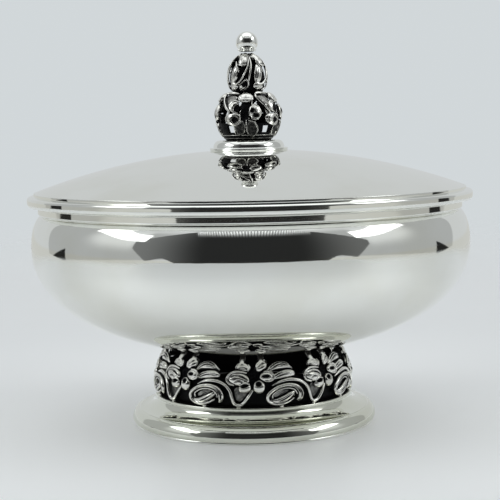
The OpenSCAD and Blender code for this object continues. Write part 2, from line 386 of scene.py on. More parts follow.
def bowlTree(settings):
    # a grid whose rows climb the profile and whose columns go round the axis
    tree, sockets, given = geometryTree("turnedBowlWall", settings, comesIn=False)
    rows = given["bellyRows"] + given["shoulderRows"] + given["neckRows"]
    index = chain(tree, "GeometryNodeInputIndex", {})
    row = index.math("MODULO", rows)
    turn = (index / rows).math("FLOOR") / given["segments"] * (2 * math.pi)

    power = 2.0 / given["squareness"]
    bellyAngle = row / (given["bellyRows"] - 1.0) * (math.pi / 2)

    def curve(operation):
        return bellyAngle.math(operation).math("MAXIMUM", 0.0).math("POWER", power)

    bellyR = given["bellyRadius"] * curve("SINE")
    bellyZ = given["widestHeight"] - given["bellyDepth"] * curve("COSINE")

    shoulderAngle = (row - given["bellyRows"] + 1.0) / given["shoulderRows"] * shoulderEnd
    shoulderR = given["shoulderCentre"] + (
        (given["bellyRadius"] - given["shoulderCentre"]) * shoulderAngle.math("COSINE"))
    shoulderZ = given["widestHeight"] + given["shoulderHeight"] * shoulderAngle.math("SINE")

    neckRow = row - (given["bellyRows"] + given["shoulderRows"])
    neckShare = neckRow / (given["neckRows"] - 1.0)
    neckZ = given["neckHeight"] + neckShare * (given["mouthHeight"] - given["neckHeight"])

    onBelly = row.math("LESS_THAN", given["bellyRows"])
    onNeck = 1.0 - neckRow.math("LESS_THAN", 0.0)
    onShoulder = 1.0 - onBelly - onNeck

    def chosen(belly, shoulder, neck):
        return (belly * onBelly + shoulder * onShoulder + neck * onNeck) * mm

    radius = chosen(bellyR, shoulderR, given["neckRadius"])
    spot = chain(tree, "ShaderNodeCombineXYZ", {
        0: radius * turn.math("COSINE"), 1: radius * turn.math("SINE"),
        2: chosen(bellyZ, shoulderZ, neckZ)})
    grid = chain(tree, "GeometryNodeMeshGrid", {
        "Vertices X": given["segments"] + 1.0, "Vertices Y": rows})
    shaped = chain(tree, "GeometryNodeSetPosition", {"Geometry": grid, "Position": spot})
    merged = chain(tree, "GeometryNodeMergeByDistance", {"Geometry": shaped, "Distance": 0.000005})
    closeTree(tree, merged, given["silver"])
    return tree, sockets


def outwardNormals(piece):
    # a shape round the axis: on the whole its normals should point away from the axis
    work = bmesh.new()
    work.from_mesh(piece.data)
    bmesh.ops.remove_doubles(work, verts=work.verts, dist=1e-7)
    bmesh.ops.recalc_face_normals(work, faces=work.faces)
    lean = sum(f.normal.xy.dot(f.calc_center_median().xy) * f.calc_area() for f in work.faces)
    if lean < 0:
        bmesh.ops.reverse_faces(work, faces=work.faces)
    work.to_mesh(piece.data)
    work.free()


bowlWall = grown("bowlWall", *bowlTree(bowl), bowl, bowlSilver)
outwardNormals(bowlWall)
wall = bowlWall.modifiers.new("wall", "SOLIDIFY")
wall.thickness = bowlSheet * mm
wall.offset = -1
place(bowlWall, "bowl", "polished_silver", "bowl_shell")
print("bowl wall:", len(bowlWall.data.polygons), "faces")

mouthWire = {"inside": 61.2, "outside": 62.0, "low": 62.9, "high": 65.0, "round": {1: 0.3, 2: 0.3}}


def wireProfile(size):
    return softenCorners([(size["inside"], size["low"]), (size["outside"], size["low"]),
                          (size["outside"], size["high"]), (size["inside"], size["high"])],
                         size["round"])


place(turned("mouthWire", holdEdges(wireProfile(mouthWire)), wireSilver), "bowl",
      "polished_silver", "bowl_mouth_wire")


foot = {
    "innerTop": 25.2, "flatTop": 27.0, "top": 8.0, "waist": 28.6, "hollowCentre": 34.2,
    "hollowHeight": 3.2, "rim": 36.2, "rimWidth": 2.4, "rimHeight": 3.3, "rimCentre": 1.5,
    "edgeHeight": 0.8, "tuck": 0.35, "wall": 1.0,
}


def footOutline(size, depth):
    hollow = arcPoints(size["hollowCentre"], size["top"] - depth,
                       size["hollowCentre"] - size["waist"] + depth, size["hollowHeight"],
                       180, 268, 22)
    rim = arcPoints(size["rim"] - size["rimWidth"], size["rimCentre"], size["rimWidth"] - depth,
                    size["rimHeight"] - depth, 87, 0, 18)
    return hollow + rim


def footProfile(size):
    tuck = size["rim"] - size["tuck"]
    return ([(size["innerTop"], size["top"]), (size["flatTop"], size["top"])] + footOutline(size, 0)
            + [(tuck, size["edgeHeight"]), (tuck - size["wall"], size["edgeHeight"])]
            + list(reversed(footOutline(size, size["wall"])))
            + [(size["innerTop"], size["top"] - size["wall"])])


place(turned("spunFoot", footProfile(foot), footSilver), "bowl", "polished_silver", "foot_flare")
edgeWire = {"inside": 33.9, "outside": 35.7, "low": 0, "high": 0.8, "round": {0: 0.15, 1: 0.3}}
place(turned("footEdgeWire", wireProfile(edgeWire), wireSilver), "bowl", "polished_silver",
      "foot_edge_wire")
seatRing = {"inside": 26.4, "outside": 29.2, "low": 8.0, "high": 8.9, "round": {1: 0.2, 2: 0.3}}
place(turned("footSeatRing", holdEdges(wireProfile(seatRing)), seatSilver), "bowl",
      "polished_silver", "foot_seat_ring")
print("foot turned")

lid = {"sphere": 180, "top": 80.3, "edge": 63.1, "wall": 1.0, "seat": 65.1, "bezelOut": 59.85,
       "bezelWall": 0.9, "bezelLow": 61.4, "underRadius": 62.4, "rim": 65.0, "faceLow": 66.25,
       "faceTop": 67.1, "lowRound": 1.1, "topRound": 0.8, "rimTop": 68.2}
domeRows = 60


def domeHeight(r, depth=0.0):
    return lid["top"] - lid["sphere"] + math.sqrt((lid["sphere"] - depth) ** 2 - r * r)


def underDome(r):
    return (r, domeHeight(r, lid["wall"]))


reach = [lid["edge"] * math.sin(math.pi / 2 * i / domeRows) for i in range(domeRows + 1)]
reach[0] = 0
domeProfile = [(r, domeHeight(r)) for r in reach] + [underDome(r) for r in reversed(reach)]
domeProfile = softenCorners(domeProfile, {domeRows: 0.15, domeRows + 1: 0.15})
place(turned("lidDome", domeProfile, lidSilver, 256), "lid", "polished_silver", "lid_dome")
rimProfile = ([underDome(lid["bezelOut"]), (lid["bezelOut"], lid["seat"]),
               (lid["underRadius"], lid["seat"])]
              + arcPoints(lid["rim"] - lid["lowRound"], lid["faceLow"], lid["lowRound"],
                          lid["lowRound"], -80, 0, 16)
              + arcPoints(lid["rim"] - lid["topRound"], lid["faceTop"], lid["topRound"],
                          lid["topRound"], 0, 70, 12)
              + [(lid["edge"], lid["rimTop"]), underDome(lid["edge"])])
place(turned("lidRimMoulding", holdEdges(rimProfile), wireSilver, 256), "lid", "polished_silver",
      "lid_rim_moulding")
bezelIn = lid["bezelOut"] - lid["bezelWall"]
bezelProfile = softenCorners(
    [(bezelIn, lid["bezelLow"]), (lid["bezelOut"], lid["bezelLow"]), underDome(lid["bezelOut"]),
     underDome(bezelIn)], {0: 0.2, 1: 0.4})
place(turned("lidBezel", holdEdges(bezelProfile), wireSilver), "lid", "polished_silver",
      "lid_bezel")

finialFoot = {"disc": 11.5, "edge": 0.25, "edgeWidth": 0.2, "discTop": 80.8, "cushion": 8.7,
              "cushionWidth": 1.75, "low": 80.3, "top": 83.0}


def flangeProfile(size):
    return ([(0, domeHeight(0))] + [(r, domeHeight(r)) for r in (4, 8, size["disc"] - 0.1)]
            + arcPoints(size["disc"] - size["edgeWidth"], size["low"] + size["edge"],
                        size["edgeWidth"], size["edge"], -60, 90, 8)
            + [(size["cushion"] + 1.9, size["discTop"])]
            + arcPoints(size["cushion"], size["discTop"], size["cushionWidth"],
                        size["top"] - size["discTop"], 0, 90, 16)
            + [(4, size["top"]), (0, size["top"])])


place(turned("finialFoot", flangeProfile(finialFoot), wireSilver, 128), "lid", "polished_silver",
      "finial_flange")

ball = {"radius": 3.2, "centre": 111.4, "cut": 109.7}
ballNeck = [(0, 108.8), (2.0, 108.8), (2.35, 109.1), (2.35, 109.5)]
ballStart = math.degrees(math.asin((ball["cut"] - ball["centre"]) / ball["radius"]))
ballProfile = ballNeck + arcPoints(0, ball["centre"], ball["radius"], ball["radius"],
                                   ballStart, 90, 40)
ballProfile[-1] = (0, ball["centre"] + ball["radius"])
place(turned("finialBall", ballProfile, ballSilver, 128), "lid", "polished_silver", "finial_ball")
print("lid turned")


# Cast work is modelled as clay in a flat block, cast as a mesh, then bent to its place.
# Block axes: s along the ring to the right, d outwards, z up, in millimetres.

def clayBlock(low, high, pitch):
    axes = [low[i] + pitch * np.arange(math.ceil((high[i] - low[i]) / pitch) + 1) for i in range(3)]
    shape = tuple(len(a) for a in axes)
    return {"low": np.array(low, float), "pitch": pitch, "axes": axes,
            "field": np.full(shape, 4.0, np.float32)}


def window(block, low, high, margin=0.9):
    cuts, grids = [], []
    for i, axis in enumerate(block["axes"]):
        a = int(np.searchsorted(axis, low[i] - margin))
        b = max(int(np.searchsorted(axis, high[i] + margin)), a + 1)
        cuts.append(slice(a, b))
        shape = [1, 1, 1]
        shape[i] = -1
        grids.append(axis[a:b].reshape(shape).astype(np.float32))
    return tuple(cuts), grids


def press(block, cuts, shape, blend, cut):
    # adds the shape to the clay or cuts it out, with a soft join as wide as blend
    clay = block["field"][cuts]
    if cut:
        clay, shape = -clay, shape
    share = np.clip(0.5 + 0.5 * (shape - clay) / blend, 0, 1)
    joined = shape + (clay - shape) * share - blend * share * (1 - share)
    block["field"][cuts] = -joined if cut else joined


def lump(block, at, size, tilt=0, blend=0.16, cut=False):
    reach = max(size[0], size[2])
    cuts, (s, d, z) = window(block, (at[0] - reach, at[1] - size[1], at[2] - reach),
                             (at[0] + reach, at[1] + size[1], at[2] + reach))
    c, n = math.cos(math.radians(tilt)), math.sin(math.radians(tilt))
    s, d, z = s - at[0], d - at[1], z - at[2]
    u, v, w = (c * s + n * z) / size[0], d / size[1], (c * z - n * s) / size[2]
    k0 = np.sqrt(u * u + v * v + w * w)
    k1 = np.sqrt((u / size[0]) ** 2 + (v / size[1]) ** 2 + (w / size[2]) ** 2) + 1e-6
    press(block, cuts, k0 * (k0 - 1) / k1, blend, cut)


def slab(block, at, size, blend=0.1):
    # a flat plate with square edges
    cuts, (s, d, z) = window(block, np.subtract(at, size), np.add(at, size))
    gaps = [np.abs(v - c) - half for v, c, half in zip((s, d, z), at, size)]
    outside = np.sqrt(sum(np.maximum(g, 0) ** 2 for g in gaps))
    inside = np.minimum(np.maximum(np.maximum(gaps[0], gaps[1]), gaps[2]), 0)
    press(block, cuts, outside + inside, blend, False)


def smoothPath(points, steps=5):
    # a soft curve through rows of numbers
    p = np.array([2 * np.array(points[0], float) - points[1], *points,
                  2 * np.array(points[-1], float) - points[-2]], float)
    path = []
    for i in range(1, len(p) - 2):
        for t in np.arange(steps) / steps:
            path.append(0.5 * (2 * p[i] + (p[i + 1] - p[i - 1]) * t
                               + (2 * p[i - 1] - 5 * p[i] + 4 * p[i + 1] - p[i + 2]) * t ** 2
                               + (3 * p[i] - p[i - 1] - 3 * p[i + 1] + p[i + 2]) * t ** 3))
    path.append(p[-2])
    return np.array(path)


def rope(block, path, flat=1.0, blend=0.14, cut=False):
    # path rows are (s, d, z, radius); flat squeezes the rope in depth
    path = smoothPath(path)
    radius = path[:, 3].max()
    cuts, (s, d, z) = window(block, path[:, :3].min(0) - radius, path[:, :3].max(0) + radius)
    d = d / flat
    near = None
    for a, b in zip(path[:-1], path[1:]):
        ad, bd = a[1] / flat, b[1] / flat
        run = (b[0] - a[0], bd - ad, b[2] - a[2])
        length = max(run[0] ** 2 + run[1] ** 2 + run[2] ** 2, 1e-9)
        t = np.clip(((s - a[0]) * run[0] + (d - ad) * run[1] + (z - a[2]) * run[2]) / length, 0, 1)
        gap = np.sqrt((s - a[0] - t * run[0]) ** 2 + (d - ad - t * run[1]) ** 2
                      + (z - a[2] - t * run[2]) ** 2) - (a[3] + t * (b[3] - a[3]))
        near = gap if near is None else np.minimum(near, gap)
    press(block, cuts, near * min(flat, 1.0), blend, cut)


def readClay(block, points):
    # value of the clay's distance field at points, between its grid lines
    where = (points - block["low"]) / block["pitch"]
    top = np.array(block["field"].shape) - 1.001
    where = np.clip(where, 0, top)
    base = where.astype(int)
    t = where - base
    total = 0
    for corner in range(8):
        step = np.array([corner & 1, corner >> 1 & 1, corner >> 2 & 1])
        share = np.prod(np.where(step, t, 1 - t), axis=1)
        total = total + share * block["field"][tuple((base + step).T)]
    return total


def bentRound(points, bend):
    # flat block to a bulging ring: centre radius and radius of the bulge, its middle height
    s, d, z = points.T
    rise = z - bend["middle"]
    base = np.sqrt(np.maximum(bend["bulge"] ** 2 - rise ** 2, 0.01))
    r = bend["centre"] + base + d * base / bend["bulge"]
    angle = s / bend["turnRadius"]
    return np.stack([r * np.sin(angle), -r * np.cos(angle), z + d * rise / bend["bulge"]], 1)


def castMesh(name, block, bend, material, stains=()):
    field = block["field"]
    for axis in range(3):    # the block's outer skin is empty, so every casting is closed
        for end in (0, -1):
            edge = [slice(None)] * 3
            edge[axis] = end
            field[tuple(edge)] = np.maximum(field[tuple(edge)], block["pitch"])
    grid = openvdb.FloatGrid(4.0)
    grid.copyFromArray(field)
    points, quads = grid.convertToQuads(0.0)
    points = np.asarray(points, float) * block["pitch"] + block["low"]
    quads = np.asarray(quads, int)
    slope = np.stack([readClay(block, points + off) - readClay(block, points - off)
                      for off in np.eye(3) * block["pitch"]], 1)
    slope /= np.linalg.norm(slope, axis=1, keepdims=True) + 1e-9
    recess = 0
    for reach, weight in ((0.3, 0.35), (0.6, 0.35), (1.1, 0.3)):
        free = readClay(block, points + slope * reach) / reach
        recess = recess + weight * np.clip(1 - free, 0, 1)
    # painted shade: parts set back in the block and faces turned inwards go as dark as the oxide in
    # the hollows
    deep = np.clip((-points[:, 1] - bend["shadeDepth"]) / 0.7, 0, 1)
    back = np.clip((-slope[:, 1] - 0.1) / 0.4, 0, 1)
    recess = np.clip(np.maximum(recess, np.maximum(deep, back)), 0, 1)
    for at, size, tilt, strength in stains:    # hollows where the blackening was left on purpose
        c, n = math.cos(math.radians(tilt)), math.sin(math.radians(tilt))
        off = points - at
        far = np.sqrt(((c * off[:, 0] + n * off[:, 2]) / size[0]) ** 2 + (off[:, 1] / size[1]) ** 2
                      + ((c * off[:, 2] - n * off[:, 0]) / size[2]) ** 2)
        recess = np.maximum(recess, strength * np.clip((1.2 - far) / 0.35, 0, 1))
    bent = bentRound(points, bend)
    corners = bent[quads]
    volume = np.einsum("ij,ij->", corners[:, 0], np.cross(corners[:, 1], corners[:, 2])
                       ) + np.einsum("ij,ij->", corners[:, 0], np.cross(corners[:, 2], corners[:, 3]))
    if volume < 0:
        quads = quads[:, ::-1]
    return meshObject(name, bent, quads.tolist(), material, recess)


def copiesTree():
    # copies of one casting round the axis; the second can stand off its even place
    tree, sockets, given = geometryTree("ringOfCastings", {"copies": 1, "secondShift": 0.0})
    spots = chain(tree, "GeometryNodePoints", {"Count": given["copies"]})
    index = chain(tree, "GeometryNodeInputIndex", {})
    turn = (index * (2 * math.pi / given["copies"])
            + calc(tree, "COMPARE", index, 1.0, 0.1) * given["secondShift"])
    copies = chain(tree, "GeometryNodeInstanceOnPoints", {
        "Points": spots, "Instance": given["Geometry"],
        "Rotation": chain(tree, "ShaderNodeCombineXYZ", {2: turn})})
    closeTree(tree, copies, given["silver"])
    return tree, sockets


ringTree = copiesTree()


def castRing(name, shape, bend, nodeName):
    unit = castMesh(name + "Pattern", model(shape), bend, blackenedSilver, shape.get("stains", ()))
    copies = bend["copies"]
    numbers = {"copies": copies, "secondShift": math.radians(bend["secondShift"])}
    piece = grown(name, *ringTree, numbers, blackenedSilver, unit.data)
    bpy.data.objects.remove(unit)
    place(piece, bend["body"], "cast_silver", *[f"{nodeName}_{i + 1}" for i in range(copies)])
    print(name, "faces:", len(piece.data.polygons))


footRing = {"centre": 15.3, "bulge": 14.5, "middle": 12.8, "turnRadius": 29.0, "shadeDepth": 0.95,
            "copies": 8, "secondShift": 0.0, "body": "bowl"}
bulb = {"centre": 0.0, "bulge": 10.1, "middle": 89.5, "turnRadius": 10.1, "shadeDepth": 0.95,
        "copies": 4, "secondShift": -13, "body": "lid"}    # the second flower stands nearer the first
bud = {**bulb, "shadeDepth": 0.8, "centre": -4.0, "bulge": 10.2, "middle": 100.5, "turnRadius": 6.2}

footFlower = {
    "pitch": 0.145, "low": (-8.4, -2.6, 12.2), "high": (6.8, 0.5, 23.6),
    "plate": ((0.1, -1.85, 17.9), (4.4, 0.5, 3.2)),
    "cup": ((0.3, -0.5, 18.3), (1.35, 1.35, 1.3)),
    "petals": [                       # place, size, tilt
        ((-4.4, -0.95, 17.4), (3.3, 0.95, 1.95), -10),
        ((-2.5, -1.0, 14.7), (1.9, 1.0, 1.45), 15),
        ((1.6, -1.05, 15.0), (1.75, 1.05, 2.0), 0),
        ((3.9, -1.0, 17.9), (2.15, 1.0, 1.5), 0),
        ((-3.1, -1.05, 20.5), (2.3, 0.95, 1.2), -6),
        ((2.4, -1.05, 21.0), (2.1, 0.95, 1.4), 32),
    ],
    "bodies": [                       # two stalks that hold the bowl
        ([(-3.2, -0.8, 20.8, 1.0), (-3.4, -0.6, 22.0, 0.85), (-3.3, -0.7, 23.6, 1.05)], 0.7),
        ([(2.6, -0.8, 21.4, 1.0), (2.4, -0.6, 22.4, 0.85), (2.5, -0.7, 23.6, 1.05)], 0.7),
    ],
    "stains": [
        ((0.3, -1.1, 18.3), (1.45, 1.2, 1.45), 0, 1),
        ((-2.5, -0.85, 15.4), (1.1, 0.45, 0.55), 15, 1),
        ((1.4, -0.8, 15.9), (0.9, 0.5, 0.7), 0, 1),
        ((3.4, -0.6, 17.95), (1.1, 0.4, 0.4), 0, 1),
        ((0.2, -1.2, 20.6), (1.1, 0.7, 1.3), 0, 1),
        ((-0.4, -1.3, 15.6), (0.7, 0.7, 1.2), 0, 1),
    ],
    "dimples": [
        ((-2.5, -0.3, 15.4), (1.2, 0.7, 0.55), 15),
        ((1.4, -0.15, 15.9), (0.95, 0.8, 0.8), 0),
        ((3.4, -0.1, 17.95), (1.2, 0.5, 0.45), 0),
    ],
    "rims": [
        [(-2.0, -0.6, 19.0, 0.24), (-4.2, -0.3, 19.3, 0.3), (-6.4, -0.25, 18.9, 0.3),
         (-7.6, -0.4, 17.4, 0.3), (-7.0, -0.5, 16.1, 0.28), (-5.6, -0.4, 15.6, 0.24)],
        [(3.2, -0.35, 19.2, 0.2), (4.8, -0.3, 19.1, 0.26), (5.8, -0.4, 18.2, 0.26),
         (5.7, -0.45, 17.2, 0.26), (4.6, -0.4, 16.6, 0.24), (3.3, -0.45, 16.7, 0.2)],
        [(-1.4, -0.5, 21.2, 0.22), (-1.0, -0.5, 20.4, 0.24), (-1.6, -0.5, 19.6, 0.2)],
        [(-3.9, -0.5, 15.6, 0.2), (-2.6, -0.35, 16.2, 0.26), (-1.2, -0.5, 15.9, 0.2)],
        [(-5.2, -0.6, 20.0, 0.16), (-4.9, -0.45, 21.0, 0.2), (-3.6, -0.4, 21.5, 0.2),
         (-2.0, -0.45, 21.2, 0.18)],
        [(1.0, -0.5, 19.9, 0.16), (0.9, -0.4, 21.0, 0.2), (2.0, -0.35, 22.0, 0.2),
         (3.6, -0.4, 22.3, 0.18)],
    ],
    "grooves": [
        [(-3.5, -0.4, 21.4, 0.1), (-3.4, -0.3, 22.6, 0.14), (-3.3, -0.4, 23.5, 0.1)],
        [(2.5, -0.4, 21.8, 0.1), (2.4, -0.3, 22.8, 0.14), (2.5, -0.4, 23.5, 0.1)],
        [(-6.6, -0.2, 17.7, 0.16), (-5.2, 0.0, 18.2, 0.26), (-3.4, -0.1, 17.9, 0.24),
         (-1.9, -0.4, 17.2, 0.16)],
        [(-5.6, -0.1, 16.4, 0.2), (-4.2, 0.0, 16.8, 0.26), (-2.6, -0.1, 16.5, 0.16)],
        [(-5.0, -0.3, 20.5, 0.12), (-3.3, 0.0, 21.0, 0.2), (-1.8, -0.2, 20.8, 0.14)],
        [(-4.6, -0.3, 19.9, 0.12), (-3.2, -0.1, 20.2, 0.16), (-1.8, -0.2, 20.0, 0.12)],
        [(1.2, -0.3, 20.2, 0.14), (2.4, 0.0, 21.0, 0.26), (3.7, -0.3, 21.7, 0.14)],
    ],
}


def model(shape):
    # plates, petals and ropes first, then hollows and grooves, then raised rims
    block = clayBlock(shape["low"], shape["high"], shape["pitch"])
    for at, size in shape.get("slabs", []):
        slab(block, at, size)
    if "plate" in shape:
        lump(block, *shape["plate"])
    for at, size, tilt in shape.get("petals", []):
        lump(block, at, size, tilt)
    for path, flat in shape.get("bodies", []):
        rope(block, path, flat)
    for at, size, tilt in shape.get("dimples", []):
        lump(block, at, size, tilt, blend=0.12, cut=True)
    for path in shape.get("grooves", []):
        rope(block, path, blend=0.08, cut=True)
    if "cup" in shape:
        lump(block, *shape["cup"], blend=0.2, cut=True)
    for path in shape.get("rims", []):
        rope(block, path)
    return block


castRing("footFlowers", footFlower, footRing, "foot_flower")

footLeafPair = {
    "pitch": 0.145, "low": (3.6, -3.0, 15.8), "high": (13.6, 0.2, 23.0),
    "bodies": [
        ([(4.2, -1.6, 19.6, 0.4), (6.0, -1.2, 20.6, 0.9), (8.0, -1.05, 21.0, 1.15),
          (10.2, -1.2, 20.8, 1.0), (12.0, -1.6, 20.0, 0.35)], 0.75),
        ([(4.8, -1.6, 17.5, 0.4), (7.2, -1.2, 18.1, 0.95), (9.4, -1.05, 18.5, 1.1),
          (11.2, -1.1, 18.6, 1.0), (12.1, -1.3, 18.4, 0.7)], 0.7),
    ],
    "grooves": [
        [(5.0, -0.9, 20.4, 0.12), (7.0, -0.4, 21.3, 0.16), (8.8, -0.35, 21.5, 0.16),
         (11.0, -0.7, 20.9, 0.12)],
        [(5.2, -0.9, 19.9, 0.12), (7.2, -0.35, 20.7, 0.14), (9.0, -0.3, 20.9, 0.14),
         (11.2, -0.7, 20.4, 0.12)],
        [(6.0, -0.9, 17.9, 0.12), (8.0, -0.45, 18.7, 0.17), (10.0, -0.3, 19.1, 0.17),
         (12.0, -0.5, 19.0, 0.14)],
        [(6.2, -0.9, 17.4, 0.12), (8.2, -0.45, 18.1, 0.15), (10.2, -0.3, 18.3, 0.15),
         (12.2, -0.5, 18.2, 0.14)],
    ],
}
castRing("footLeafPairs", footLeafPair, {**footRing, "shadeDepth": 1.35}, "foot_leaf_pair")

footScroll = {
    "pitch": 0.15, "low": (0.6, -2.8, 7.9), "high": (24.8, 0.4, 19.0),
    "slabs": [((12.7, -2.15, 13.1), (11.6, 0.2, 4.8))],       # a dark plate behind the scrolls: painted shade for the shaded inside seen through the openwork
    "stains": [
        ((8.4, -1.3, 12.6), (4.9, 0.5, 2.7), 9, 0.33),
        ((18.9, -1.3, 12.6), (2.6, 0.6, 3.3), -8, 0.38),
    ],
    "petals": [                        # the floors inside the scroll and the pointed leaf
        ((8.4, -1.75, 12.6), (4.9, 0.5, 2.6), 9),
        ((18.9, -1.8, 12.6), (2.3, 0.45, 3.0), -8),
    ],
    "bodies": [
        ([(4.8, -0.9, 10.9, 0.3), (6.6, -0.75, 10.7, 0.75), (8.8, -0.7, 11.4, 0.95),
          (10.8, -0.8, 12.6, 0.75), (12.2, -1.2, 13.6, 0.3)], 0.8),
        ([(13.0, -0.9, 10.6, 0.5), (13.6, -0.6, 11.7, 0.8), (13.4, -0.5, 13.3, 0.75),
          (12.0, -0.45, 14.8, 0.6), (9.4, -0.4, 15.3, 0.5), (6.4, -0.4, 14.6, 0.48),
          (4.2, -0.45, 12.9, 0.48), (3.9, -0.5, 11.2, 0.46), (5.2, -0.5, 10.1, 0.46),
          (7.4, -0.5, 9.8, 0.46), (9.6, -0.6, 10.3, 0.4), (11.4, -0.8, 11.2, 0.3)], 1.0),
        ([(5.6, -1.5, 15.4, 0.25), (8.2, -1.0, 16.4, 0.5), (11.2, -0.9, 16.7, 0.55),
          (14.0, -0.9, 16.0, 0.5), (15.9, -0.8, 14.2, 0.46), (16.6, -0.7, 12.0, 0.46),
          (17.2, -0.6, 10.3, 0.46), (18.5, -0.5, 9.7, 0.48), (19.8, -0.6, 10.3, 0.46),
          (21.2, -0.8, 12.1, 0.44), (22.4, -1.1, 14.0, 0.36)], 1.0),
        ([(8.0, -1.0, 9.6, 0.6), (8.0, -1.0, 8.9, 0.75)], 1.0),
        ([(18.4, -1.0, 9.5, 0.55), (18.4, -1.0, 8.9, 0.7)], 1.0),
    ],
    "grooves": [
        [(6.0, -0.15, 14.2, 0.1), (9.4, 0.05, 15.0, 0.14), (11.8, 0.0, 14.5, 0.14),
         (13.2, -0.05, 13.0, 0.14), (13.4, -0.1, 11.8, 0.14)],
        [(6.4, -1.3, 12.4, 0.12), (8.4, -1.25, 13.6, 0.12), (10.6, -1.3, 14.2, 0.12)],
        [(7.4, -1.3, 12.2, 0.1), (9.2, -1.25, 13.2, 0.1), (11.0, -1.3, 13.8, 0.1)],
        [(7.0, -0.1, 10.7, 0.12), (8.9, 0.0, 11.5, 0.14), (10.8, -0.2, 12.7, 0.12)],
        [(8.2, -0.5, 16.9, 0.1), (11.2, -0.35, 17.2, 0.14), (14.2, -0.4, 16.4, 0.14),
         (16.2, -0.3, 14.3, 0.12), (17.0, -0.2, 11.8, 0.1)],
    ],
    "rims": [
        [(5.3, -0.75, 11.6, 0.22), (5.4, -0.6, 12.8, 0.24), (7.2, -0.5, 14.0, 0.24),
         (9.6, -0.5, 14.4, 0.24), (11.6, -0.55, 13.8, 0.24), (12.5, -0.6, 12.5, 0.24)],
    ],
}
castRing("footScrollLeaves", footScroll, {**footRing, "shadeDepth": 1.35}, "foot_scroll_leaf")
print("foot castings done")

